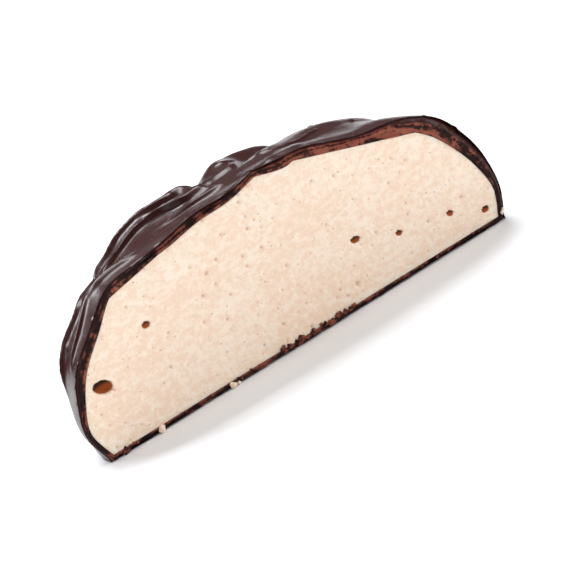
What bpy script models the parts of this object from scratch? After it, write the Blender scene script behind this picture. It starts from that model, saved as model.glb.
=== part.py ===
"""Chocolate covered marshmallow, cut in half: a piped marshmallow mound in a coat of dark chocolate.

+Z is up and the flat underside lies on z = 0. The knife's cut is the flat face towards -Y, and the
piped folds run back from it along +Y. Sizes are in millimetres, turned into metres by MM. Until the
last step the pieces stand in the cut's own frame, with the origin on the floor under the swirl.
"""

import math

import bmesh
import bpy
from mathutils import Matrix, Vector, noise

MM = 0.001

# The swirl that the piped folds fan out from lies on the cut, this far right of the middle
SWIRL_X = 3.0

# The marshmallow's outline, from its bottom edge to the swirl: distance from the swirl, height above
# its own underside, and thickness of the chocolate there. It runs along the cut to the left and right,
# and turns into the fuller dome over this many degrees from there.
LEFT_OUTLINE = (
    (29.8, 0.0, 0.7), (30.9, 3.5, 0.8), (29.8, 7.0, 0.9), (27.8, 10.3, 1.1),
    (24.6, 13.4, 1.1), (21.0, 16.7, 0.9), (17.2, 17.4, 0.9), (12.6, 17.9, 0.9),
    (8.4, 18.6, 0.9), (4.0, 18.8, 1.0), (0.0, 19.7, 0.8),
)
DOME_OUTLINE = (
    (25.6, 0.0, 1.0), (27.6, 3.5, 1.0), (27.6, 7.4, 1.1), (26.4, 10.8, 1.2),
    (23.9, 13.6, 1.2), (20.4, 15.3, 1.2), (16.6, 16.5, 1.2), (12.6, 17.4, 1.2),
    (8.6, 18.2, 1.2), (4.4, 18.9, 1.1), (0.0, 19.7, 0.8),
)
RIGHT_OUTLINE = (
    (23.6, 0.0, 0.8), (24.6, 3.3, 1.0), (24.0, 6.6, 1.6), (22.7, 9.7, 2.0),
    (20.6, 12.9, 2.1), (17.3, 15.5, 1.2), (13.6, 16.7, 0.8), (9.7, 17.6, 1.1),
    (6.4, 19.0, 0.7), (3.4, 18.8, 1.1), (0.0, 19.7, 0.8),
)
LEFT_TO_DOME, RIGHT_TO_DOME = 35.0, 150.0

# How far apart the points lie that a slope is worked out from: a share of the way up, and radians
OUTLINE_STEP = 0.02
SLOPE_STEP = 0.01

# The chocolate under the marshmallow, how unevenly it lies, and the lip round its foot, which runs
# out into a tail at each of these directions in degrees
UNDERSIDE = 0.7
COAT_UNEVENNESS = 0.3
LIP_REACH, LIP_HEIGHT = 0.6, 1.4
TAILS = ((66.0, 1.5), (127.0, 2.0))
TAIL_WIDTH = 5.0
CLEARANCE = 0.3

# Each piped fold has the direction of its crest, in degrees about the swirl, its height, and the distance
# from the swirl at which it has grown to it. The folds sweep round by so many degrees for each
# millimetre from the swirl, and carry finer ridges.
FOLDS = (
    (-40.0, 1.5, 14.0), (0.0, 2.6, 14.0), (72.0, 0.9, 14.0), (103.0, 2.4, 13.0), (143.0, 2.6, 9.0),
    (196.0, 1.2, 28.0), (242.0, 1.2, 28.0),
)
FOLD_START = 0.4
FOLD_SWEEP = 1.1
FOLD_LEAN = 0.4
FOLD_WANDER = 7.0
CREST_SHARPNESS = 1.5
VALLEY_SHARE = 0.37
VALLEY_FILL = 0.16
RIDGES, RIDGE_HEIGHT, RIDGE_SHARE = 22, 0.14, 0.6
CALM_REACH = 3.8
CALM_AT_SWIRL = 9.0
LUMP_HEIGHT, LUMP_SIZE = 0.5, 8.0

# Where the noise is taken that makes the folds wander, the ridges come and go, and the coat and its
# lip uneven
FOLD_SEED, RIDGE_SEED = Vector((1.0, 6.0, 2.0)), Vector((5.0, 1.0, 8.0))
COAT_SEED, LIP_SEED = Vector((7.0, 3.0, 1.0)), Vector((2.0, 9.0, 5.0))

# Air bubbles that the knife opened: place along the cut and above the marshmallow's underside, half
# length, half height, and tilt in degrees
BUBBLES = (
    (-24.1, 7.6, 1.25, 0.85, -22.0),
    (-16.3, 11.3, 0.52, 0.42, 10.0),
    (10.1, 6.8, 0.62, 0.42, 0.0),
    (15.1, 4.7, 0.42, 0.36, 0.0),
    (21.6, 3.5, 0.42, 0.38, 0.0),
    (25.6, 1.6, 0.52, 0.36, 20.0),
)
# A bubble's depth as a share of its half length, and how far its middle lies behind the cut, as a share of
# its half height
BUBBLE_DEPTH, BUBBLE_SET_BACK = 0.9, 0.25

ANGLE_STEPS = 70
RISE_STEPS = 23
RISE_CROWDING = 1.1
SHARP_ANGLE = 40.0

CHOCOLATE_COLOUR, CHOCOLATE_ROUGHNESS = (0.030, 0.011, 0.010, 1.0), 0.3
MARSHMALLOW_COLOUR, MARSHMALLOW_ROUGHNESS = (0.90, 0.70, 0.56, 1.0), 0.8


def clear_scene():
    for item in list(bpy.data.objects):
        bpy.data.objects.remove(item)


def finish(name, colour, roughness):
    material = bpy.data.materials.new(name)
    material.use_nodes = True
    shader = material.node_tree.nodes["Principled BSDF"]
    shader.inputs["Base Color"].default_value = colour
    shader.inputs["Roughness"].default_value = roughness
    shader.inputs["Metallic"].default_value = 0.0
    return material


def smooth_step(low, high, value):
    share = min(1.0, max(0.0, (value - low) / (high - low)))
    return share * share * (3.0 - 2.0 * share)


def on_curve(points, share):
    """A point of the smooth curve through the outline's points, 0 at its foot and 1 at its top."""
    span = share * (len(points) - 1)
    first = min(int(span), len(points) - 2)
    t = span - first
    a, b, c, d = (
        Vector(points[min(max(index, 0), len(points) - 1)])
        for index in range(first - 1, first + 3)
    )
    return 0.5 * (2 * b + (c - a) * t + (2 * a - 5 * b + 4 * c - d) * t**2 + (3 * b - a - 3 * c + d) * t**3)


def outline(angle, rise):
    """Distance from the swirl and height of the bare marshmallow here, and the chocolate's thickness."""
    left = 1 - smooth_step(0.0, LEFT_TO_DOME, math.degrees(math.pi - angle))
    right = 1 - smooth_step(0.0, RIGHT_TO_DOME, math.degrees(angle))
    along_cut = on_curve(LEFT_OUTLINE, rise) * left + on_curve(RIGHT_OUTLINE, rise) * right
    return along_cut + on_curve(DOME_OUTLINE, rise) * (1 - left - right)


def fold_wave(direction, distance):
    """Height over the swirl's mean surface of the fold in this direction, in degrees."""
    first = max(index for index, (crest, _, _) in enumerate(FOLDS) if crest <= direction)
    crests = [crest for crest, _, _ in FOLDS[first:first + 2]]
    heights = [
        height * smooth_step(FOLD_START * grown, grown, distance)
        for _, height, grown in FOLDS[first:first + 2]
    ]
    share = (direction - crests[0]) / (crests[1] - crests[0])
    turn = 2 * math.pi * share
    rounded = 0.5 + 0.5 * math.cos(turn + FOLD_LEAN * math.cos(turn) - FOLD_LEAN)
    height = heights[0] * (1 - share) + heights[1] * share
    return height * (rounded**CREST_SHARPNESS - VALLEY_SHARE)


def relief(place):
    """How far the piped surface stands out or in at this place of the bare mound."""
    if place.y <= 0:
        return 0.0
    distance = math.hypot(place.x, place.y)
    direction = math.degrees(math.atan2(place.y, place.x)) + FOLD_SWEEP * distance
    direction += FOLD_WANDER * noise.noise(place / LUMP_SIZE + FOLD_SEED)
    patchy = RIDGE_SHARE + noise.noise(place / LUMP_SIZE + RIDGE_SEED)
    ridges = RIDGE_HEIGHT * patchy * math.cos(math.radians(direction) * RIDGES)
    folds = fold_wave(direction, distance) + ridges * smooth_step(0.0, CALM_AT_SWIRL, distance)
    lumps = LUMP_HEIGHT * noise.noise(place / LUMP_SIZE)
    return (folds + lumps) * smooth_step(0.0, CALM_REACH, place.y)


def bare_surface(angle, rise):
    """A point of the marshmallow's piped surface, over its own underside."""
    reach, height, _ = outline(angle, rise)
    step = outline(angle, min(rise + OUTLINE_STEP, 1.0)) - outline(angle, max(rise - OUTLINE_STEP, 0.0))
    outward = Vector((step.y, -step.x)).normalized() if rise < 1 else Vector((0.0, 1.0))
    raised = relief(Vector((reach * math.cos(angle), reach * math.sin(angle), height)))
    reach += raised * outward.x
    return Vector((reach * math.cos(angle), reach * math.sin(angle), height + raised * outward.y))


def facing(angle, rise):
    """The direction that the piped surface faces here."""
    if rise >= 1:
        return Vector((0.0, 0.0, 1.0))
    turned = bare_surface(angle + SLOPE_STEP, rise) - bare_surface(angle - SLOPE_STEP, rise)
    higher, lower = min(rise + SLOPE_STEP, 1.0), max(rise - SLOPE_STEP, 0.0)
    risen = bare_surface(angle, higher) - bare_surface(angle, lower)
    return turned.cross(risen).normalized()


def no_growth(angle, rise):
    return 0.0


def clearance(angle, rise):
    return -CLEARANCE


def chocolate(angle, rise):
    """Thickness of the chocolate: more in the valleys than on the crests, and a lip round its foot."""
    place = bare_surface(angle, rise)
    thickness = outline(angle, rise).z - VALLEY_FILL * relief(place)
    thickness += COAT_UNEVENNESS * noise.noise(place / LUMP_SIZE + COAT_SEED)
    lip = LIP_REACH * (1 + noise.noise(place / LUMP_SIZE + LIP_SEED))
    for direction, reach in TAILS:
        lip += reach * math.exp(-(((math.degrees(angle) - direction) / TAIL_WIDTH) ** 2))
    lip *= math.exp(-((place.z / LIP_HEIGHT) ** 2)) * smooth_step(0.0, CALM_REACH, place.y)
    return thickness + lip


def mound_points(angle, growth, floor):
    """One upright row of points of the mound, from its foot to just under its top."""
    points = []
    for step in range(RISE_STEPS):
        rise = (step / RISE_STEPS) ** RISE_CROWDING
        point = bare_surface(angle, rise) + growth(angle, rise) * facing(angle, rise)
        point.z += UNDERSIDE
        if step == 0 or point.z < floor:
            point.z = floor
        points.append(point * MM)
    return points


def half_mound(growth, floor):
    """A closed half mound, flat below and flat at the cut, as a bmesh. It returns the cut's face too."""
    bm = bmesh.new()
    angles = [math.pi * step / ANGLE_STEPS for step in range(ANGLE_STEPS + 1)]
    rows = [[bm.verts.new(point) for point in mound_points(angle, growth, floor)] for angle in angles]
    crown = bare_surface(0.0, 1.0).z + growth(0.0, 1.0)
    top = bm.verts.new(Vector((0.0, 0.0, UNDERSIDE + crown)) * MM)
    for row, following in zip(rows, rows[1:]):
        for low in range(RISE_STEPS - 1):
            bm.faces.new((row[low], following[low], following[low + 1]))
            bm.faces.new((row[low], following[low + 1], row[low + 1]))
        bm.faces.new((row[-1], following[-1], top))
    bm.faces.new([row[0] for row in reversed(rows)])
    for point in rows[0] + rows[-1] + [top]:
        point.co.y = 0.0
    cut = bm.faces.new(list(reversed(rows[0])) + rows[-1] + [top])
    bmesh.ops.recalc_face_normals(bm, faces=bm.faces)
    return bm, cut


def add_object(name, bm, parent, material=None):
    mesh = bpy.data.meshes.new(name)
    bmesh.ops.triangulate(bm, faces=[face for face in bm.faces if len(face.verts) > 4])
    bm.to_mesh(mesh)
    bm.free()
    item = bpy.data.objects.new(name, mesh)
    bpy.context.scene.collection.objects.link(item)
    item.parent = parent
    if material:
        mesh.materials.append(material)
    mesh.shade_smooth()
    mesh.set_sharp_from_angle(angle=math.radians(SHARP_ANGLE))
    return item


def as_cutter(item, target):
    item.hide_render = True
    item.display_type = "WIRE"
    cut = target.modifiers.new(item.name, "BOOLEAN")
    cut.operation = "DIFFERENCE"
    cut.solver = "EXACT"
    cut.object = item


def chocolate_coat(parent):
    """The chocolate: a shell round the marshmallow, open at the cut, with a flat underside."""
    outside, _ = half_mound(chocolate, 0.0)
    dark = finish("dark_chocolate", CHOCOLATE_COLOUR, CHOCOLATE_ROUGHNESS)
    coat = add_object("chocolate_coat", outside, parent, dark)
    inside, opening = half_mound(no_growth, UNDERSIDE)
    pulled = bmesh.ops.extrude_face_region(inside, geom=[opening])["geom"]
    corners = [part for part in pulled if isinstance(part, bmesh.types.BMVert)]
    bmesh.ops.translate(inside, verts=corners, vec=(0.0, -UNDERSIDE * MM, 0.0))
    bmesh.ops.delete(inside, geom=[opening], context="FACES_ONLY")
    as_cutter(add_object("coat_hollow", inside, parent), coat)
    return coat


def marshmallow_core(parent):
    """The marshmallow, clear of the chocolate all round, with the bubbles that the knife opened."""
    body, _ = half_mound(clearance, UNDERSIDE + CLEARANCE)
    pale = finish("marshmallow", MARSHMALLOW_COLOUR, MARSHMALLOW_ROUGHNESS)
    core = add_object("marshmallow", body, parent, pale)
    for number, (along, up, half_length, half_height, tilt) in enumerate(BUBBLES, start=1):
        hollow = bmesh.new()
        bmesh.ops.create_icosphere(hollow, subdivisions=2, radius=MM)
        size = Matrix.Diagonal((half_length, BUBBLE_DEPTH * half_length, half_height, 1.0))
        place = Vector((along - SWIRL_X, BUBBLE_SET_BACK * half_height, UNDERSIDE + up)) * MM
        turn = Matrix.Rotation(math.radians(-tilt), 4, "Y")
        hollow.transform(Matrix.Translation(place) @ turn @ size)
        as_cutter(add_object(f"bubble_{number}", hollow, parent), core)
    return core


def main():
    clear_scene()
    frame = bpy.data.objects.new("cut_half", None)
    bpy.context.scene.collection.objects.link(frame)
    coat = chocolate_coat(frame)
    marshmallow_core(frame)
    across = [corner.co.x for corner in coat.data.vertices]
    back = [corner.co.y for corner in coat.data.vertices]
    frame.location = (-(min(across) + max(across)) / 2, -(min(back) + max(back)) / 2, 0.0)


main()
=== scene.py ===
"""The looks of a chocolate covered marshmallow, cut in half and lying on its flat underside.

Sizes are in millimetres. Until as_piece() turns a shape into metres it stands in the cut's own
frame: the knife's cut is the plane y = 0 and the mound lies behind it, the origin is on the floor
under the swirl, and +X runs along the cut to the right of someone who looks at it.
"""

import math
import random

import bmesh
import bpy
from mathutils import Matrix, Vector, kdtree, noise


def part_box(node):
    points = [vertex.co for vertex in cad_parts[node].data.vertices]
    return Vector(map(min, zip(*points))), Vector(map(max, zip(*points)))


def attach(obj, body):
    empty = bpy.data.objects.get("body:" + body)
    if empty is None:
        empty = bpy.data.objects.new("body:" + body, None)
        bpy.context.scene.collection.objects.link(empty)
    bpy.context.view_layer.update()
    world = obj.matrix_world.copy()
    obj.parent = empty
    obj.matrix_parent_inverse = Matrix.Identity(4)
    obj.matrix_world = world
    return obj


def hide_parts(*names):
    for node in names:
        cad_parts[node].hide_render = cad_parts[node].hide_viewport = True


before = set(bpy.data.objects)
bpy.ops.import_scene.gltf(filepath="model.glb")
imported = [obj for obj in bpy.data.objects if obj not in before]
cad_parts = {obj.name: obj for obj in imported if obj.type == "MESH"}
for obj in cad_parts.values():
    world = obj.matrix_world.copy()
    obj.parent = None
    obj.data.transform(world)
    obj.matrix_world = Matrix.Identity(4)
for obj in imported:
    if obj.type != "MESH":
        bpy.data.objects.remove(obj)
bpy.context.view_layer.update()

MM = 0.001
X_AXIS, Y_AXIS, Z_AXIS = Vector((1, 0, 0)), Vector((0, 1, 0)), Vector((0, 0, 1))
# Distances that count as none
CLOSE, VERY_CLOSE = 0.001, 0.0001

# The swirl lies on the cut, this far right of the middle of the piece
SWIRL_X = 2.987
CUT_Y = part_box("chocolate_coat")[0].y
TO_FRAME = Matrix.Translation((SWIRL_X * MM, CUT_Y, 0.0)) @ Matrix.Scale(MM, 4)

# The marshmallow's outline, from its bottom edge to the swirl: distance from the swirl, height above
# its own underside, and thickness of the chocolate there. The left and right ones run along the cut.
# Round the back, each turns into the fuller dome's within this many degrees of the cut.
LEFT_OUTLINE = (
    (29.8, 0.0, 0.7), (30.9, 3.5, 0.8), (29.8, 7.0, 0.9), (27.8, 10.3, 1.1),
    (24.6, 13.4, 1.1), (21.0, 16.7, 0.9), (17.2, 17.4, 0.9), (12.6, 17.9, 0.9),
    (8.4, 18.6, 0.9), (4.0, 18.8, 1.0), (0.0, 19.7, 0.8),
)
DOME_OUTLINE = (
    (25.6, 0.0, 1.0), (27.6, 3.5, 1.0), (27.6, 7.4, 1.1), (26.4, 10.8, 1.2),
    (23.9, 13.6, 1.2), (20.4, 15.3, 1.2), (16.6, 16.5, 1.2), (12.6, 17.4, 1.2),
    (8.6, 18.2, 1.2), (4.4, 18.9, 1.1), (0.0, 19.7, 0.8),
)
RIGHT_OUTLINE = (
    (23.6, 0.0, 0.8), (24.6, 3.3, 1.0), (24.0, 6.6, 1.6), (22.7, 9.7, 2.0),
    (20.6, 12.9, 2.1), (17.3, 15.5, 1.2), (13.6, 16.7, 0.8), (9.7, 17.6, 1.1),
    (6.4, 19.0, 0.7), (3.4, 18.8, 1.1), (0.0, 19.7, 0.8),
)
LEFT_TO_DOME, RIGHT_TO_DOME = 35.0, 150.0
OUTLINE_STEP = 0.02

# The chocolate under the marshmallow, how unevenly it lies, and the lip round its foot, which runs
# out into a tail at each of these directions in degrees
UNDERSIDE = 0.7
COAT_UNEVENNESS = 0.3
LIP_REACH, LIP_HEIGHT = 0.6, 1.4
TAILS = ((66.0, 1.5), (127.0, 2.0))
TAIL_WIDTH = 5.0

# Each piped fold has the direction of its crest, in degrees about the swirl, its height, and the
# distance from the swirl at which it has grown to it. It starts to grow at a share of that distance. It
# sweeps round by so many degrees for each millimetre from the swirl, leans, and wanders by so many
# degrees. Its valley lies below the mean surface by a share of its height, and the chocolate fills a
# share of it.
FOLDS = (
    (-40.0, 1.5, 14.0), (0.0, 2.6, 14.0), (72.0, 0.9, 14.0), (103.0, 2.4, 13.0), (143.0, 2.6, 9.0),
    (196.0, 1.2, 28.0), (242.0, 1.2, 28.0),
)
FOLD_START = 0.4
FOLD_SWEEP = 1.1
FOLD_LEAN = 0.4
FOLD_WANDER = 7.0
CREST_SHARPNESS = 1.5
VALLEY_SHARE = 0.37
VALLEY_FILL = 0.16

# Finer ridges on the folds: how many would make a full turn, their height, how much of them shows, and
# the distances from the swirl over which they come in. Then the broad lumps under it all, and how far
# behind the cut the piping is calmer.
RIDGES, RIDGE_HEIGHT, RIDGE_SHARE = 22, 0.14, 0.6
RIDGES_FROM = (12.0, 22.0)
LUMP_HEIGHT, LUMP_SIZE = 0.5, 8.0
CALM_REACH = 3.8

# Where the noise is taken that makes the folds wander, the ridges come and go, and the coat and its
# lip uneven; that roughens the break, its bevel and its edges; and that unsettles the fine lines, the
# knife marks and the marshmallow's grain
FOLD_SEED, RIDGE_SEED = Vector((1.0, 6.0, 2.0)), Vector((5.0, 1.0, 8.0))
COAT_SEED, LIP_SEED = Vector((7.0, 3.0, 1.0)), Vector((2.0, 9.0, 5.0))
BREAK_SEED, BEVEL_SEED = Vector((3.0, 3.0, 3.0)), Vector((6.0, 2.0, 0.0))
EDGE_SEED, EDGE_UP_SEED = Vector((0.0, 5.0, 0.0)), Vector((9.0, 0.0, 4.0))
LINES_SEED, STREAK_SEED = Vector((0.0, 3.0, 3.0)), 2.0
FOAM_SEED = Vector((4.0, 4.0, 4.0))

# The random draws of the bumps, the pores, and the dark and pale crumbs
BUMPS_DRAW, PORES_DRAW, DARK_CRUMBS_DRAW, PALE_CRUMBS_DRAW = 5, 11, 7, 8

# The thin crests that the nozzle's teeth left. Each has its height, half its width, and the points
# that it runs through, as the direction about the swirl in degrees and the share of the way up. All
# have so many samples, fade over a share of their length at each end, and are this pointed.
TOOTH_CRESTS = (
    (0.64, 0.45, ((131, 0.80), (131, 0.75), (130, 0.70), (130, 0.64), (129, 0.58), (130, 0.52),
                  (131, 0.48), (134, 0.45), (138, 0.41), (142, 0.37))),
    (0.64, 0.45, ((143, 0.83), (140, 0.80), (137, 0.75), (135, 0.70), (136, 0.65), (137, 0.59),
                  (139, 0.54), (141, 0.49), (144, 0.46), (152, 0.44), (161, 0.44), (166, 0.43),
                  (168, 0.40), (168, 0.36), (168, 0.32), (169, 0.28), (170, 0.23), (173, 0.17))),
    (0.34, 0.42, ((172, 0.63), (172, 0.57), (173, 0.52), (172, 0.48), (171, 0.46), (172, 0.42),
                  (173, 0.38), (174, 0.33), (176, 0.28))),
    (0.34, 0.42, ((96, 0.74), (88, 0.68), (82, 0.60), (77, 0.54), (73, 0.48))),
    (0.30, 0.42, ((70, 0.76), (62, 0.79), (52, 0.77), (47, 0.72), (44, 0.64), (42, 0.56))),
)
CREST_SAMPLES = 240
CREST_FADE = 0.12
CREST_POINT = 1.7

# Fine lines along the cut that the piping left over the top: their pitch and height, the way across
# them, how they wander, where along the cut they fade in and out, and how far behind it they begin
# and end
LINES_PITCH, LINES_HEIGHT, LINES_SHARPNESS = 1.3, 0.22, 2.0
LINES_ACROSS = Vector((-0.10, 0.31, 0.95))
LINES_WANDER, LINES_SIZE = 0.35, 6.0
LINES_IN, LINES_OUT = (-13.0, -8.5), (3.0, 9.0)
LINES_BEGIN, LINES_REACH = (0.0, 1.0), (9.0, 14.0)

# Round bumps on the skin of the chocolate: how many, how far up they lie, their radii and heights
BUMPS, BUMPS_UP_TO = 14, 0.5
BUMP_RADII, BUMP_HEIGHTS = (0.35, 0.7), (0.06, 0.2)

# The meshes: steps round the outside and the inside, rings on the way up, points along the base of the
# cut, and the angle past which an edge stays sharp
OUTER_STEPS, RINGS, INNER_STEPS = 404, 194, 40
BASE_CUTS = 150
SHARP_ANGLE = math.radians(50)

# The rough break through the chocolate: rows across it, the sizes and depths of its chips, how strongly
# they tilt and a factor that sets neighbours apart, its finest grain, how ragged its edges are, and how
# much less so it is between them
BREAK_ROWS = 8
CHIPS = ((1.1, 0.26), (0.4, 0.14))
CHIP_TILT, CHIP_SPREAD = 2.0, 7.3
BREAK_GRAIN, BREAK_GRAIN_SIZE = 0.04, 0.15
RAGGED, RAGGED_SIZE = 0.14, 0.6
RAGGED_INSIDE = 0.3

# How far the break's outer edge is bevelled back, over which share of the way across, and how it
# curves. To the right of these distances from the swirl the bevel is wider by this much, and deeper.
EDGE_CHIP, EDGE_SHARE, EDGE_POWER = 0.45, 0.35, 1.3
WIDE_FROM, WIDE_SHARE, WIDE_CHIP = (8.0, 14.0), 0.17, 0.25

# The marshmallow's cut face: how far it lies back from the chocolate and clear of it, and the pitch
# of its mesh before and after the fine cuts
FOAM_BACK, FOAM_GAP = 0.06, 0.03
DICE_PITCH, DICE_CUTS = 0.5, 2

# Air bubbles that the knife opened: place along the cut, from the middle of the piece, and above the
# marshmallow's underside, half length, half height, and tilt in degrees. Each is as deep as a share of
# its half length, and dark under its upper rim.
BUBBLES = (
    (-24.1, 7.6, 1.25, 0.85, -22.0),
    (-16.3, 11.3, 0.52, 0.42, 10.0),
    (10.1, 6.8, 0.62, 0.42, 0.0),
    (15.1, 4.7, 0.42, 0.36, 0.0),
    (21.6, 3.5, 0.42, 0.38, 0.0),
    (25.6, 1.6, 0.52, 0.36, 20.0),
)
BUBBLE_DEPTH = 0.9
SHADE_OVER, SHADE_INSIDE = (-0.35, 0.35), 0.15
MIDDLE_TO_SWIRL = 3.0

# Small pores at random: how many, how deep for their size, how much painted shade they get, where they lie,
# and their sizes
PORES, PORE_DEPTH, PORE_SHADE = 420, 0.6, 0.28
PORES_ALONG, PORES_UP = (-31.0, 25.0), (1.0, 20.0)
PORE_SIZES, MOSTLY_SMALL = (0.10, 0.38), 3

# The knife marks, and the grain of the cut marshmallow
STREAK_DEPTH, STREAK_LENGTH, STREAK_WIDTH = 0.05, 9.0, 0.5
FOAM_GRAIN, FOAM_GRAIN_SIZE = 0.025, 0.45

# Dark crumbs that stick to the cut along its lower edge: how many, from where to where along the cut,
# the heights of their middles, and their radii. The pale ones each have a place, and a radius. All are
# this uneven, in shapes that are drawn from a stretch of noise this long.
DARK_CRUMBS = (
    (46, (-7.0, 3.3), (0.40, 0.90), (0.14, 0.38)),
    (10, (-29.6, -26.5), (0.15, 0.7), (0.12, 0.28)),
    (10, (6.0, 22.0), (0.4, 0.7), (0.10, 0.22)),
    (10, (-25.0, -9.0), (0.4, 0.7), (0.10, 0.22)),
)
PALE_CRUMBS = (
    (Vector((-23.4, -0.25, 0.38)), 0.46), (Vector((-13.7, -0.25, 0.34)), 0.40),
    (Vector((-12.9, -0.15, 0.20)), 0.22), (Vector((24.2, 0.02, 1.00)), 0.26),
    (Vector((24.5, 0.06, 1.25)), 0.18),
)
CRUMB_UNEVENNESS = 0.7
CRUMB_SHAPES = 100.0

# Colours of the skin from dark to pale, and of the break where it is dark, where it is red, and in the
# red rim beside the marshmallow
SKIN_DARK, SKIN_PALE = (0.032, 0.0085, 0.0076, 1), (0.052, 0.0150, 0.0130, 1)
BREAK_DARK = (0.014, 0.0040, 0.0034, 1)
BREAK_RED, BREAK_RIM = (0.26, 0.072, 0.046, 1), (0.29, 0.094, 0.056, 1)

# The size and detail of the clouds in the skin's colour
SKIN_CLOUDS = (7.0, 3.0)

# Layers of grain in the finishes: each has its share, the size of its lumps and, in some, its detail
# and how it is squashed along each axis. The bumps also have a depth.
SKIN_BUMPS, SKIN_BUMP_DEPTH = ((0.7, 1.6), (0.3, 0.25)), 0.04
STREAK_GRAIN = ((0.4, 0.8), (0.6, 0.3))
FOAM_MOTTLING = (
    (0.45, 0.7, 3.0, (0.6, 1.0, 1.0)), (0.35, 0.3, 2.0), (0.2, 4.0, 3.0, (0.5, 1.0, 1.0)),
)
FOAM_BUMPS, FOAM_BUMP_DEPTH = ((0.6, 0.5, 3.0), (0.4, 0.15)), 0.06

# The skin's gloss and roughness, how much that varies, and how much duller the break is
SKIN_SHINE, SKIN_ROUGHNESS, ROUGHNESS_VARIES, BREAK_DULLER = 0.18, 0.20, 0.12, 0.5

# Where across the break the skin gives way to it, how ragged that line is, and how much further in it
# lies over the wider bevel, which starts here along the piece, in metres
SKIN_TO_BREAK, SKIN_RAGGED, SKIN_WIDER = (0.26, 0.38), 0.12, 0.16
SKIN_WIDE_FROM = (0.012, 0.018)

# The break's red patches: how closely its layers lie, how they waver and show, and where along the
# piece and how high on it the patches are thickest, in metres, and how much more there
LAYERS, LAYERS_WAVER, LAYERS_SHARE = 13.0, 7.0, 0.11
RED_FROM, RED_TO, RED_UP = (0.002, 0.010), (0.027, 0.023), (0.004, 0.009)
MORE_PATCHES, MORE_STREAKS = 0.20, 0.02

# The red rim beside the marshmallow: how ragged it is, where across the break it begins, and where
# along the piece it ends, in metres
RIM_RAGGED, RIM_FROM, RIM_TO = 0.5, (0.85, 1.15), (0.0265, 0.0235)

# Colours of the marshmallow, pale and warm, and of painted shade: in its finest pores, orange brown deep in
# its bubbles and pores, and dark under the bubbles' upper rims
FOAM_PALE, FOAM_WARM = (0.97, 0.81, 0.67, 1), (0.91, 0.69, 0.525, 1)
PORE_SHADE_COLOUR, HOLLOW_SHADE_COLOUR = (0.62, 0.36, 0.23, 1), (0.42, 0.085, 0.008, 1)
SHADE_COLOUR = (0.02, 0.005, 0.001, 1)

# The finest pores are only painted, as spots of painted shade: their pitch, their radius, the share that
# is kept, and how strong they are
SPECKS, SPECKS_STRENGTH = (0.9, 0.14, 0.5), 0.8

# How far light goes under the marshmallow's surface, for red, green and blue, in millimetres
LIGHT_UNDER_SURFACE = (1.2, 0.7, 0.45)

FLOOR_COLOUR, FLOOR_RADIUS = (0.90, 0.91, 0.92, 1), 3.0

# The room's dim walls and ceiling, and how high one turns into the other, as sines of the angle
WALL_TOP = (0.30, 0.70)
WALL_COLOUR = (0.11, 0.111, 0.115, 1)
CEILING_COLOUR = (0.09, 0.093, 0.10, 1)

# The soft boxes: name, the way to it, distance, width and height in metres, brightness and colour. The
# narrow one at the left makes the thin crests shine.
SOFTBOXES = (
    ("front", (-0.35, -1.0, 0.75), 1.8, 1.5, 1.5, 1.5, (1.0, 0.98, 0.96)),
    ("right", (0.82, -0.42, 0.42), 1.8, 1.1, 1.1, 3.8, (0.96, 0.98, 1.0)),
    ("behind", (0.06, 0.57, 0.80), 1.8, 1.3, 0.9, 11.5, (0.97, 0.98, 1.0)),
    ("above", (0.0, 0.05, 1.0), 1.8, 1.4, 1.4, 1.0, (0.98, 0.99, 1.0)),
    ("left", (-0.52, 0.68, 0.51), 1.8, 0.6, 0.24, 30.0, (0.98, 0.97, 1.0)),
)

# The camera: where it stands and how it is turned, in degrees, its distance, and the width of its view
# there and of its sensor
CAMERA_AZIMUTH, CAMERA_ELEVATION, CAMERA_ROLL = -12.0, 18.0, 27.9
CAMERA_DISTANCE, VIEW_WIDTH, SENSOR = 500.0, 65.27, 36.0
NEAREST_SEEN = 0.01

# The marshmallow's bottom left corner at the cut, where the photograph shows it, in its pixels from the
# middle of the view, and the size of such a pixel
CORNER = Vector((-29.8, 0.0, UNDERSIDE))
CORNER_RIGHT, CORNER_DOWN = -59.1, 58.8
PHOTO_MM = 0.3313


def smooth_step(low, high, value):
    share = min(1.0, max(0.0, (value - low) / (high - low)))
    return share * share * (3.0 - 2.0 * share)


def on_curve(points, share):
    """A point of the smooth curve through the points, 0 at the first and 1 at the last."""
    span = share * (len(points) - 1)
    first = min(int(span), len(points) - 2)
    t = span - first
    a, b, c, d = (
        Vector(points[min(max(index, 0), len(points) - 1)])
        for index in range(first - 1, first + 3)
    )
    return 0.5 * (2 * b + (c - a) * t + (2 * a - 5 * b + 4 * c - d) * t**2 + (3 * b - a - 3 * c + d) * t**3)


def wobble(place, size, offset):
    """Smooth noise from about -1 to 1, with lumps of this size."""
    return noise.noise(place / size + offset)


def outline(angle, rise):
    """Distance from the swirl and height of the bare marshmallow here, and the chocolate's thickness."""
    left = 1 - smooth_step(0.0, LEFT_TO_DOME, math.degrees(math.pi - angle))
    right = 1 - smooth_step(0.0, RIGHT_TO_DOME, math.degrees(angle))
    along_cut = on_curve(LEFT_OUTLINE, rise) * left + on_curve(RIGHT_OUTLINE, rise) * right
    return along_cut + on_curve(DOME_OUTLINE, rise) * (1 - left - right)


def fold_wave(direction, distance):
    """Height over the swirl's mean surface of the fold in this direction, in degrees."""
    first = max(index for index, (crest, _, _) in enumerate(FOLDS) if crest <= direction)
    crests = [crest for crest, _, _ in FOLDS[first:first + 2]]
    heights = [
        height * smooth_step(FOLD_START * grown, grown, distance)
        for _, height, grown in FOLDS[first:first + 2]
    ]
    share = (direction - crests[0]) / (crests[1] - crests[0])
    turn = 2 * math.pi * share
    rounded = 0.5 + 0.5 * math.cos(turn + FOLD_LEAN * math.cos(turn) - FOLD_LEAN)
    height = heights[0] * (1 - share) + heights[1] * share
    return height * (rounded**CREST_SHARPNESS - VALLEY_SHARE)


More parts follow.
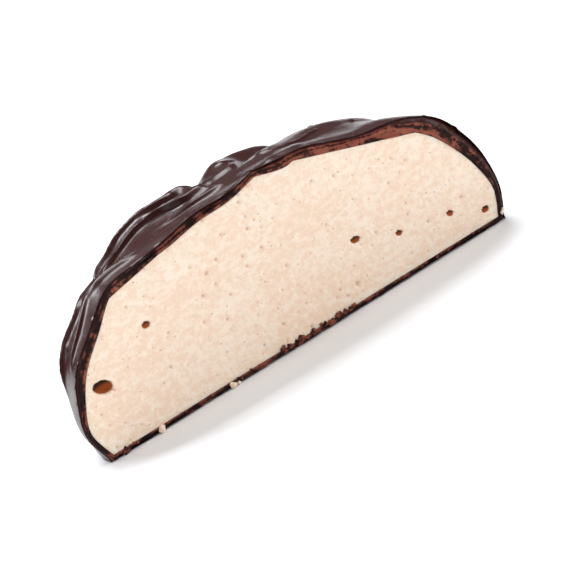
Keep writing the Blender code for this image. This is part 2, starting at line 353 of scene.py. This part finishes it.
def relief(place):
    """How far the piped surface stands out or in at this place of the bare mound."""
    if place.y <= 0:
        return 0.0
    distance = math.hypot(place.x, place.y)
    direction = math.degrees(math.atan2(place.y, place.x)) + FOLD_SWEEP * distance
    direction += FOLD_WANDER * wobble(place, LUMP_SIZE, FOLD_SEED)
    patchy = RIDGE_SHARE + wobble(place, LUMP_SIZE, RIDGE_SEED)
    ridges = RIDGE_HEIGHT * patchy * math.cos(math.radians(direction) * RIDGES)
    folds = fold_wave(direction, distance) + ridges * smooth_step(*RIDGES_FROM, distance)
    lumps = LUMP_HEIGHT * noise.noise(place / LUMP_SIZE)
    return (folds + lumps) * smooth_step(0.0, CALM_REACH, place.y)


def bare_surface(angle, rise):
    """A point of the marshmallow's piped surface, over its own underside."""
    reach, height, _ = outline(angle, rise)
    step = outline(angle, min(rise + OUTLINE_STEP, 1.0)) - outline(angle, max(rise - OUTLINE_STEP, 0.0))
    outward = Vector((step.y, -step.x)).normalized() if rise < 1 else Vector((0.0, 1.0))
    raised = relief(Vector((reach * math.cos(angle), reach * math.sin(angle), height)))
    reach += raised * outward.x
    return Vector((reach * math.cos(angle), reach * math.sin(angle), height + raised * outward.y))


def chocolate(angle, rise, place):
    """Thickness of the chocolate: more in the valleys than on the crests, and a lip round its foot."""
    thickness = outline(angle, rise).z - VALLEY_FILL * relief(place)
    thickness += COAT_UNEVENNESS * wobble(place, LUMP_SIZE, COAT_SEED)
    lip = LIP_REACH * (1 + wobble(place, LUMP_SIZE, LIP_SEED))
    for direction, reach in TAILS:
        lip += reach * math.exp(-(((math.degrees(angle) - direction) / TAIL_WIDTH) ** 2))
    lip *= math.exp(-((place.z / LIP_HEIGHT) ** 2)) * smooth_step(0.0, CALM_REACH, place.y)
    return thickness + lip


def at_cut(part):
    """Whether a point, or both ends of an edge, lie on the cut."""
    if isinstance(part, bmesh.types.BMEdge):
        return all(at_cut(vert) for vert in part.verts)
    return abs(part.co.y) < CLOSE


def wrapped_mound(steps, growth, floor):
    """A sheet wrapped over the mound, grown outwards, and closed below by a flat face at the floor.

    The sheet starts flat, with the way round the swirl along X and the way up along Y. growth says
    how far to stand off the bare surface, for a direction, a way up and a place on it.
    """
    bm = bmesh.new()
    bmesh.ops.create_grid(bm, x_segments=steps, y_segments=RINGS, size=0.5)
    ways = {vert: (math.pi * (0.5 - vert.co.x), min(1.0, max(0.0, 0.5 + vert.co.y))) for vert in bm.verts}
    for vert, (angle, rise) in ways.items():
        vert.co = bare_surface(angle, rise)
    bm.normal_update()
    # Where the middle of the sheet faces down, it is inside out
    if bm.verts[:][len(ways) // 2].normal.z < 0:
        bmesh.ops.reverse_faces(bm, faces=bm.faces)
        bm.normal_update()
    for vert, (angle, rise) in ways.items():
        facing = vert.normal.copy() if rise < 1 else Z_AXIS
        on_cut = abs(vert.co.y) < VERY_CLOSE
        vert.co += facing * growth(angle, rise, vert.co.copy()) + UNDERSIDE * Z_AXIS
        if rise == 0 or vert.co.z < floor:
            vert.co.z = floor
        if on_cut or rise == 1:
            vert.co.y = 0.0
    feet = [vert for vert, (_, rise) in ways.items() if rise == 0 and at_cut(vert)]
    swirl = [vert for vert, (_, rise) in ways.items() if rise == 1]
    bmesh.ops.remove_doubles(bm, verts=swirl, dist=CLOSE)
    base = bm.edges.new(feet)
    halves = bmesh.ops.subdivide_edges(bm, edges=[base], cuts=BASE_CUTS)["geom_split"]
    base_line = [part for part in halves if isinstance(part, bmesh.types.BMEdge)]
    rim = [edge for edge in bm.edges if edge.is_boundary and not at_cut(edge)]
    bmesh.ops.edgeloop_fill(bm, edges=base_line + rim)
    return bm


def front_loop(bm):
    """The open edges at the cut."""
    return [edge for edge in bm.edges if edge.is_boundary and at_cut(edge)]


def no_growth(angle, rise, place):
    return 0.0


def foam_growth(angle, rise, place):
    return -FOAM_GAP


def crest_cloud():
    """The thin crests as a searchable cloud of points, with each point's height and half width."""
    samples = []
    for height, half_width, route in TOOTH_CRESTS:
        places = [bare_surface(math.radians(degrees), rise) for degrees, rise in route]
        for number in range(CREST_SAMPLES + 1):
            share = number / CREST_SAMPLES
            fade = smooth_step(0.0, CREST_FADE, min(share, 1 - share))
            samples.append((on_curve(places, share), height * fade, half_width))
    return searchable([place for place, _, _ in samples]), samples


def add_shape(bm, other):
    """Adds the other shape to the first and frees it."""
    carrier = bpy.data.meshes.new("carrier")
    other.to_mesh(carrier)
    other.free()
    bm.from_mesh(carrier)
    bpy.data.meshes.remove(carrier)


def chip_depth(place, size):
    """Height of a break that is made of flat chips of about this size, each with its own tilt."""
    _, centres = noise.voronoi(place / size)
    off_centre = place / size - centres[0]
    tilt = noise.cell_vector(centres[0] * CHIP_SPREAD)
    slope = off_centre.x * (tilt.x - 0.5) + off_centre.z * (tilt.z - 0.5)
    return slope * CHIP_TILT + tilt.y - 0.5


def searchable(places):
    tree = kdtree.KDTree(len(places))
    for number, place in enumerate(places):
        tree.insert(place, number)
    tree.balance()
    return tree


def roughen_break(bm, broken, across):
    """Breaks the chocolate's cut face into chips, and makes its edges ragged."""
    points = {vert for face in bm.faces if face[broken] for vert in face.verts}
    for vert in points:
        place = vert.co.copy()
        depth = sum(deep * chip_depth(place, size) for size, deep in CHIPS)
        depth += BREAK_GRAIN * wobble(place, BREAK_GRAIN_SIZE, BREAK_SEED)
        wide = smooth_step(*WIDE_FROM, place.x)
        edge = EDGE_SHARE + WIDE_SHARE * wide
        depth *= smooth_step(0.0, edge, vert[across])
        bevel = max(0.0, 1 - vert[across] / edge) ** EDGE_POWER
        uneven = 1 + wobble(place, LUMP_SIZE, BEVEL_SEED)
        depth += (EDGE_CHIP + WIDE_CHIP * wide) * bevel * uneven
        depth *= 1 - vert[across]
        at_edge = any(not face[broken] for face in vert.link_faces)
        ragged = (RAGGED if at_edge else RAGGED * RAGGED_INSIDE) * (1 - vert[across])
        vert.co.x += ragged * wobble(place, RAGGED_SIZE, EDGE_SEED)
        vert.co.y += depth
        if place.z > 0:
            vert.co.z = max(0.0, place.z + ragged * wobble(place, RAGGED_SIZE, EDGE_UP_SEED))


def skin_bumps():
    """The round bumps as a searchable cloud of points on the skin, with their radii and heights."""
    draw = random.Random(BUMPS_DRAW)
    bumps = []
    for _ in range(BUMPS):
        middle = bare_surface(draw.uniform(0.0, math.pi), draw.uniform(0.0, BUMPS_UP_TO))
        bumps.append((middle, draw.uniform(*BUMP_RADII), draw.uniform(*BUMP_HEIGHTS)))
    return searchable([middle for middle, _, _ in bumps]), bumps


def piped_lines(place):
    """Height of the fine lines along the cut at this place of the bare surface."""
    fade = smooth_step(*LINES_IN, place.x) * (1 - smooth_step(*LINES_OUT, place.x))
    fade *= (1 - smooth_step(*LINES_REACH, place.y)) * smooth_step(*LINES_BEGIN, place.y)
    across = place.dot(LINES_ACROSS) + LINES_WANDER * wobble(place, LINES_SIZE, LINES_SEED)
    rounded = 0.5 + 0.5 * math.cos(2 * math.pi * across / LINES_PITCH)
    return LINES_HEIGHT * fade * rounded**LINES_SHARPNESS


def chocolate_shell():
    """The chocolate: a skin round the marshmallow, broken off rough where the knife went through."""
    crest_tree, crests = crest_cloud()
    bump_tree, bumps = skin_bumps()

    def skin(angle, rise, place):
        _, nearest, distance = crest_tree.find(place)
        _, height, half_width = crests[nearest]
        crest = height * math.exp(-((distance / half_width) ** CREST_POINT))
        _, nearest, distance = bump_tree.find(place)
        _, radius, height = bumps[nearest]
        bump = height * max(0.0, 1 - (distance / radius) ** 2) ** 2
        return chocolate(angle, rise, place) + crest + piped_lines(place) + bump

    bm = wrapped_mound(OUTER_STEPS, skin, 0.0)
    broken = bm.faces.layers.float.new("broken")
    across = bm.verts.layers.float.new("across")
    outer_points = {vert for edge in front_loop(bm) for vert in edge.verts}
    add_shape(bm, wrapped_mound(INNER_STEPS, no_growth, UNDERSIDE))
    open_edges = front_loop(bm)
    inner_points = list({vert for edge in open_edges for vert in edge.verts} - outer_points)
    from_outside = searchable([vert.co for vert in outer_points])
    from_inside = searchable([vert.co for vert in inner_points])
    # The bridge pairs the two loops rightly only where one lies behind the other
    bmesh.ops.translate(bm, verts=inner_points, vec=Y_AXIS)
    bridge = bmesh.ops.bridge_loops(bm, edges=open_edges)["faces"]
    bmesh.ops.translate(bm, verts=inner_points, vec=-Y_AXIS)
    for face in bridge:
        face[broken] = 1.0
    bridge_edges = {edge for face in bridge for edge in face.edges}
    loops = {edge for edge in bridge_edges if any(not side[broken] for side in edge.link_faces)}
    bmesh.ops.subdivide_edges(bm, edges=list(bridge_edges - loops), cuts=BREAK_ROWS)
    for vert in {vert for face in bm.faces if face[broken] for vert in face.verts}:
        outside, inside = from_outside.find(vert.co)[2], from_inside.find(vert.co)[2]
        vert[across] = outside / (outside + inside)
    bmesh.ops.recalc_face_normals(bm, faces=bm.faces)
    roughen_break(bm, broken, across)
    return as_piece("chocolate_shell", bm, chocolate_finish())


def dice(bm, face, pitch):
    """Cuts a face on the cut into squares, so that pores can sink into it."""
    cut_up = [face] + list(face.edges) + list(face.verts)
    for axis in (X_AXIS, Z_AXIS):
        spread = [part.co.dot(axis) for part in cut_up if isinstance(part, bmesh.types.BMVert)]
        for number in range(1, int((max(spread) - min(spread)) / pitch) + 1):
            middle = axis * (min(spread) + number * pitch)
            cut_up = bmesh.ops.bisect_plane(
                bm, geom=cut_up, dist=VERY_CLOSE, plane_co=middle, plane_no=axis
            )["geom"]
    return [part for part in cut_up if isinstance(part, bmesh.types.BMFace)]


def scattered_pores(draw):
    """Small pores at random over the cut face: a searchable tree of them, and their sizes."""
    places = []
    sizes = []
    for _ in range(PORES):
        places.append(Vector((draw.uniform(*PORES_ALONG), 0.0, draw.uniform(*PORES_UP))))
        sizes.append(PORE_SIZES[0] + (PORE_SIZES[1] - PORE_SIZES[0]) * draw.random() ** MOSTLY_SMALL)
    return searchable(places), sizes


def bubble_share(place, bubble):
    """How far inside an opened air bubble this place is: 0 at its edge and outside, 1 at its middle."""
    along, up, half_length, half_height, tilt = bubble
    turn = math.radians(tilt)
    right, rise = place.x - (along - MIDDLE_TO_SWIRL), place.z - (UNDERSIDE + up)
    long_way = (right * math.cos(turn) + rise * math.sin(turn)) / half_length
    short_way = (rise * math.cos(turn) - right * math.sin(turn)) / half_height
    return max(0.0, 1 - long_way**2 - short_way**2)


def bubble_shade(place, bubble):
    """How dark this place inside a bubble is: most under its upper rim, which overhangs it."""
    _, up, _, half_height, _ = bubble
    over = (place.z - UNDERSIDE - up) / half_height
    return smooth_step(*SHADE_OVER, over) * smooth_step(0.0, SHADE_INSIDE, bubble_share(place, bubble))


def sink_pores(bm, hollow_shade, shaded):
    """Sinks the bubbles, pores and knife marks into the cut face, and keeps where shade is painted."""
    tree, sizes = scattered_pores(random.Random(PORES_DRAW))
    for vert in bm.verts:
        if not at_cut(vert):
            continue
        place = vert.co.copy()
        streaks = noise.noise(Vector((place.x / STREAK_LENGTH, STREAK_SEED, place.z / STREAK_WIDTH)))
        grain = wobble(place, FOAM_GRAIN_SIZE, FOAM_SEED)
        depth = FOAM_BACK + STREAK_DEPTH * streaks + FOAM_GRAIN * grain
        inside = max(bubble_share(place, bubble) for bubble in BUBBLES)
        if inside > 0:
            widest = max(bubble[2] for bubble in BUBBLES if bubble_share(place, bubble) == inside)
            depth += BUBBLE_DEPTH * widest * math.sqrt(inside)
        _, nearest, distance = tree.find(Vector((place.x, 0.0, place.z)))
        pore = max(0.0, 1 - (distance / sizes[nearest]) ** 2)
        depth += PORE_DEPTH * sizes[nearest] * pore
        # Painted shade, deepening towards the middles of the bubbles and the pores
        vert[hollow_shade] = max(math.sqrt(inside), PORE_SHADE * pore)
        vert[shaded] = max(bubble_shade(place, bubble) for bubble in BUBBLES)
        vert.co.y = depth


def marshmallow_foam():
    """The marshmallow, which fills the chocolate and shows its pores at the cut."""
    bm = wrapped_mound(INNER_STEPS, foam_growth, UNDERSIDE + FOAM_GAP)
    hollow_shade = bm.verts.layers.float.new("hollow_shade")
    shaded = bm.verts.layers.float.new("shaded")
    front = bmesh.ops.edgeloop_fill(bm, edges=front_loop(bm))["faces"][0]
    squares = dice(bm, front, DICE_PITCH)
    lines = {edge for face in squares for edge in face.edges}
    bmesh.ops.subdivide_edges(bm, edges=list(lines), cuts=DICE_CUTS, use_grid_fill=True)
    bmesh.ops.recalc_face_normals(bm, faces=bm.faces)
    sink_pores(bm, hollow_shade, shaded)
    return as_piece("marshmallow_foam", bm, foam_finish())


def add_crumb(bm, draw, middle, radius):
    """Adds an uneven little lump."""
    lump = bmesh.ops.create_icosphere(bm, subdivisions=2, radius=radius)["verts"]
    shape = X_AXIS * draw.uniform(0.0, CRUMB_SHAPES)
    for vert in lump:
        vert.co *= 1 + CRUMB_UNEVENNESS * wobble(vert.co, radius, shape)
    bmesh.ops.translate(bm, verts=lump, vec=middle)


def chocolate_crumbs():
    """Crumbs of the broken chocolate, stuck to the cut along its lower edge."""
    draw = random.Random(DARK_CRUMBS_DRAW)
    bm = bmesh.new()
    for count, along, up, radii in DARK_CRUMBS:
        for _ in range(count):
            radius = draw.uniform(*radii)
            middle = Vector((draw.uniform(*along), 0.0, max(radius, draw.uniform(*up))))
            add_crumb(bm, draw, middle, radius)
    return as_piece("chocolate_crumbs", bm, crumb_finish())


def marshmallow_crumbs():
    """Crumbs of marshmallow at the foot of the cut, and a smear of it at its right corner."""
    draw = random.Random(PALE_CRUMBS_DRAW)
    bm = bmesh.new()
    for middle, radius in PALE_CRUMBS:
        add_crumb(bm, draw, middle, radius)
    return as_piece("marshmallow_crumbs", bm, foam_finish())


def as_piece(name, bm, finish):
    """Turns a shape in the cut's own frame into a smooth object in the frame's metres."""
    bmesh.ops.triangulate(bm, faces=[face for face in bm.faces if len(face.verts) > 4])
    bmesh.ops.transform(bm, matrix=TO_FRAME, verts=bm.verts)
    mesh = bpy.data.meshes.new(name)
    bm.to_mesh(mesh)
    bm.free()
    piece = bpy.data.objects.new(name, mesh)
    bpy.context.scene.collection.objects.link(piece)
    mesh.materials.append(finish)
    mesh.shade_smooth()
    mesh.set_sharp_from_angle(angle=SHARP_ANGLE)
    return piece


class Value:
    """A socket in a finish's nodes. Sums, differences and products of values add Math nodes."""

    def __init__(self, finish, socket):
        self.finish = finish
        self.socket = socket

    def maths(self, operation, *terms):
        return self.finish.node("Math", {"operation": operation}, dict(enumerate(terms)))

    def __add__(self, other):
        return self.maths("ADD", self, other)

    def __radd__(self, other):
        return self.maths("ADD", other, self)

    def __sub__(self, other):
        return self.maths("SUBTRACT", self, other)

    def __rsub__(self, other):
        return self.maths("SUBTRACT", other, self)

    def __mul__(self, other):
        return self.maths("MULTIPLY", self, other)

    def __rmul__(self, other):
        return self.maths("MULTIPLY", other, self)


class Nodes:
    """The nodes of a finish, or of the room's light."""

    def __init__(self, tree):
        self.tree = tree

    def node(self, kind, settings, sockets, output=0):
        """Adds a node: first its settings, then the values or links of its sockets."""
        node = self.tree.nodes.new("ShaderNode" + kind)
        for name, value in settings.items():
            setattr(node, name, value)
        for socket, value in sockets.items():
            if isinstance(value, Value):
                self.tree.links.new(value.socket, node.inputs[socket])
            else:
                node.inputs[socket].default_value = value
        return Value(self, node.outputs[output])

    def ramp(self, value, low, high):
        """A smooth step from 0 at low to 1 at high."""
        sockets = {"Value": value, "From Min": low, "From Max": high}
        return self.node("MapRange", {"interpolation_type": "SMOOTHSTEP"}, sockets)

    def blend(self, share, first, second):
        """A colour between the two."""
        return self.node("Mix", {"data_type": "RGBA"}, {0: share, 6: first, 7: second}, output=2)


class Finish(Nodes):
    """A procedural material for one piece. Lengths given to its textures are in millimetres."""

    def __init__(self, name, **constants):
        self.material = bpy.data.materials.new(name)
        self.material.use_nodes = True
        super().__init__(self.material.node_tree)
        self.shader = self.tree.nodes["Principled BSDF"]
        for socket, value in constants.items():
            self.shader.inputs[socket.replace("_", " ")].default_value = value
        self.place = self.node("TexCoord", {}, {}, output="Object")

    def grain(self, size, detail=2.0, squash=(1.0, 1.0, 1.0)):
        """Smooth noise from 0 to 1 whose lumps have this size, longer along an axis that is squashed."""
        place = self.node("Mapping", {}, {"Vector": self.place, "Scale": squash})
        return self.node("TexNoise", {}, {"Vector": place, "Scale": 1 / (size * MM), "Detail": detail})

    def layered_grain(self, layers):
        """A sum of grains, for each of which its share comes first and then what grain() takes."""
        return sum(share * self.grain(*shape) for share, *shape in layers)

    def spots(self, pitch, radius, share):
        """1 in small round spots with soft rims, a pitch apart, of which only a share is kept."""
        sockets = {"Vector": self.place, "Scale": 1 / (pitch * MM)}
        chance = self.node("SeparateColor", {}, {0: self.node("TexVoronoi", {}, sockets, output="Color")})
        kept = chance.maths("LESS_THAN", chance, share)
        return self.ramp(self.node("TexVoronoi", {}, sockets), radius / pitch, 0.4 * radius / pitch) * kept

    def painted(self, name):
        """A value that is kept on the piece's mesh."""
        return self.node("Attribute", {"attribute_name": name}, {}, output="Fac")

    def feed(self, socket, value):
        self.tree.links.new(value.socket, self.shader.inputs[socket])

    def bump(self, height, depth):
        """Bump from a height of 0 to 1 that stands for this many millimetres."""
        sockets = {"Height": height, "Distance": depth * MM, "Strength": 1.0}
        self.feed("Normal", self.node("Bump", {}, sockets))


def chocolate_finish():
    """Satin dark chocolate, which is dull where it is broken, with redder patches and rim there."""
    finish = Finish("chocolate", Specular_IOR_Level=SKIN_SHINE)
    across = finish.painted("across")
    along = finish.node("SeparateXYZ", {}, {"Vector": finish.place}, output="X")
    up = finish.node("SeparateXYZ", {}, {"Vector": finish.place}, output="Z")
    skin = finish.blend(finish.grain(*SKIN_CLOUDS), SKIN_DARK, SKIN_PALE)

    inwards = across + SKIN_RAGGED * finish.grain(size=0.8)
    inwards = inwards - SKIN_WIDER * finish.ramp(along, *SKIN_WIDE_FROM)
    broken = finish.painted("broken") * finish.ramp(inwards, *SKIN_TO_BREAK)

    at_top = finish.ramp(along, *RED_FROM) * finish.ramp(along, *RED_TO) * finish.ramp(up, *RED_UP)
    layers = LAYERS * across + LAYERS_WAVER * finish.grain(size=1.6)
    streaks = LAYERS_SHARE * layers.maths("SINE", layers) + finish.layered_grain(STREAK_GRAIN)
    patches = finish.ramp(finish.grain(size=1.8) + MORE_PATCHES * at_top, low=0.47, high=0.62)
    patches = patches * finish.ramp(streaks + MORE_STREAKS * at_top, low=0.42, high=0.58)
    crumbly = finish.blend(patches, BREAK_DARK, BREAK_RED)

    near_foam = finish.ramp(across + RIM_RAGGED * finish.grain(size=1.0, detail=3.0), *RIM_FROM)
    rim = near_foam * finish.ramp(finish.grain(size=2.4), low=0.40, high=0.56)
    rim = rim * finish.ramp(along, *RIM_TO)
    rim = rim * finish.ramp(finish.grain(size=0.45, detail=3.0), low=0.34, high=0.58)

    finish.feed("Base Color", finish.blend(broken, skin, finish.blend(rim, crumbly, BREAK_RIM)))
    roughness = SKIN_ROUGHNESS + ROUGHNESS_VARIES * finish.grain(size=2.5, detail=4.0)
    finish.feed("Roughness", roughness + BREAK_DULLER * broken)
    finish.bump(finish.layered_grain(SKIN_BUMPS), SKIN_BUMP_DEPTH)
    return finish.material


def crumb_finish():
    """Dull reddish brown, as the chocolate is where it is broken."""
    finish = Finish("broken_chocolate", Roughness=0.7, Specular_IOR_Level=0.22)
    reddish = finish.ramp(finish.grain(size=0.5, detail=3.0), low=0.35, high=0.65)
    finish.feed("Base Color", finish.blend(reddish, BREAK_DARK, BREAK_RED))
    finish.bump(finish.grain(size=0.12), depth=0.03)
    return finish.material


def foam_finish():
    """Pale matt marshmallow with wisps, and painted shade: in its fine pores and orange brown in its
    bubbles.
    """
    finish = Finish("marshmallow", Roughness=0.75, Subsurface_Weight=0.3, Subsurface_Scale=MM)
    finish.shader.inputs["Subsurface Radius"].default_value = LIGHT_UNDER_SURFACE
    mottled = finish.ramp(finish.layered_grain(FOAM_MOTTLING), low=0.41, high=0.59)
    pale = finish.blend(mottled, FOAM_PALE, FOAM_WARM)
    # Spots of painted shade for the finest pores
    speckled = finish.blend(SPECKS_STRENGTH * finish.spots(*SPECKS), pale, PORE_SHADE_COLOUR)
    # Painted shade, orange brown, deeper down in the bubbles and pores
    hollow_shade = finish.ramp(finish.painted("hollow_shade"), low=0.10, high=0.45)
    deep = finish.blend(hollow_shade, speckled, HOLLOW_SHADE_COLOUR)
    finish.feed("Base Color", finish.blend(finish.painted("shaded"), deep, SHADE_COLOUR))
    finish.bump(finish.layered_grain(FOAM_BUMPS), FOAM_BUMP_DEPTH)
    return finish.material


def floor_finish():
    finish = Finish("floor", Roughness=0.6, Specular_IOR_Level=0.2)
    finish.shader.inputs["Base Color"].default_value = FLOOR_COLOUR
    return finish.material


def add_floor():
    bm = bmesh.new()
    bmesh.ops.create_circle(bm, cap_ends=True, segments=96, radius=FLOOR_RADIUS)
    mesh = bpy.data.meshes.new("floor")
    bm.to_mesh(mesh)
    bm.free()
    mesh.materials.append(floor_finish())
    floor = bpy.data.objects.new("floor", mesh)
    bpy.context.scene.collection.objects.link(floor)


def add_softbox(name, towards, distance, width, height, brightness, colour):
    """A flat light, this many metres away, wide and high, whose brightness is that of its own face."""
    lamp = bpy.data.lights.new(name, "AREA")
    lamp.shape = "RECTANGLE"
    lamp.size = width
    lamp.size_y = height
    lamp.energy = brightness * math.pi * width * height
    lamp.color = colour
    holder = bpy.data.objects.new(name, lamp)
    direction = Vector(towards).normalized()
    turn = direction.to_track_quat("Z", "Y").to_matrix().to_4x4()
    holder.matrix_world = Matrix.Translation(direction * distance) @ turn
    bpy.context.scene.collection.objects.link(holder)


def add_light():
    """A dim room with soft boxes in front of the piece, to its sides, behind it and above it."""
    world = bpy.data.worlds.new("studio")
    world.use_nodes = True
    room = Nodes(world.node_tree)
    way = room.node("TexCoord", {}, {}, output="Generated")
    height = room.node("SeparateXYZ", {}, {"Vector": way}, output="Z")
    shade = room.blend(room.ramp(height, *WALL_TOP), WALL_COLOUR, CEILING_COLOUR)
    room.tree.links.new(shade.socket, world.node_tree.nodes["Background"].inputs["Color"])
    bpy.context.scene.world = world
    for softbox in SOFTBOXES:
        add_softbox(*softbox)


def add_camera():
    """A long lens that sees the cut as the photograph does, tilted with its base running up to the right."""
    around, above, roll = (
        math.radians(degrees) for degrees in (CAMERA_AZIMUTH, CAMERA_ELEVATION, CAMERA_ROLL)
    )
    back = Vector((
        math.sin(around) * math.cos(above), -math.cos(around) * math.cos(above), math.sin(above),
    ))
    level = Vector((math.cos(around), math.sin(around), 0.0))
    rising = back.cross(level)
    right = level * math.cos(roll) - rising * math.sin(roll)
    up = level * math.sin(roll) + rising * math.cos(roll)
    middle = CORNER - right * CORNER_RIGHT * PHOTO_MM + up * CORNER_DOWN * PHOTO_MM
    lens = bpy.data.cameras.new("camera")
    lens.sensor_width = SENSOR
    lens.lens = SENSOR * CAMERA_DISTANCE / VIEW_WIDTH
    lens.clip_start = NEAREST_SEEN
    camera = bpy.data.objects.new("camera", lens)
    place = TO_FRAME @ (middle + back * CAMERA_DISTANCE)
    camera.matrix_world = Matrix.Translation(place) @ Matrix((right, up, back)).transposed().to_4x4()
    bpy.context.scene.collection.objects.link(camera)
    bpy.context.scene.camera = camera


def belongs(piece, node=None):
    """Fixes the piece to the object, in place of a node if one is named."""
    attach(piece, "root")
    if node:
        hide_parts(node)


add_camera()
add_floor()
add_light()
belongs(chocolate_shell(), "chocolate_coat")
belongs(marshmallow_foam(), "marshmallow")
belongs(chocolate_crumbs())
belongs(marshmallow_crumbs())
bpy.context.scene.view_settings.view_transform = "Standard"
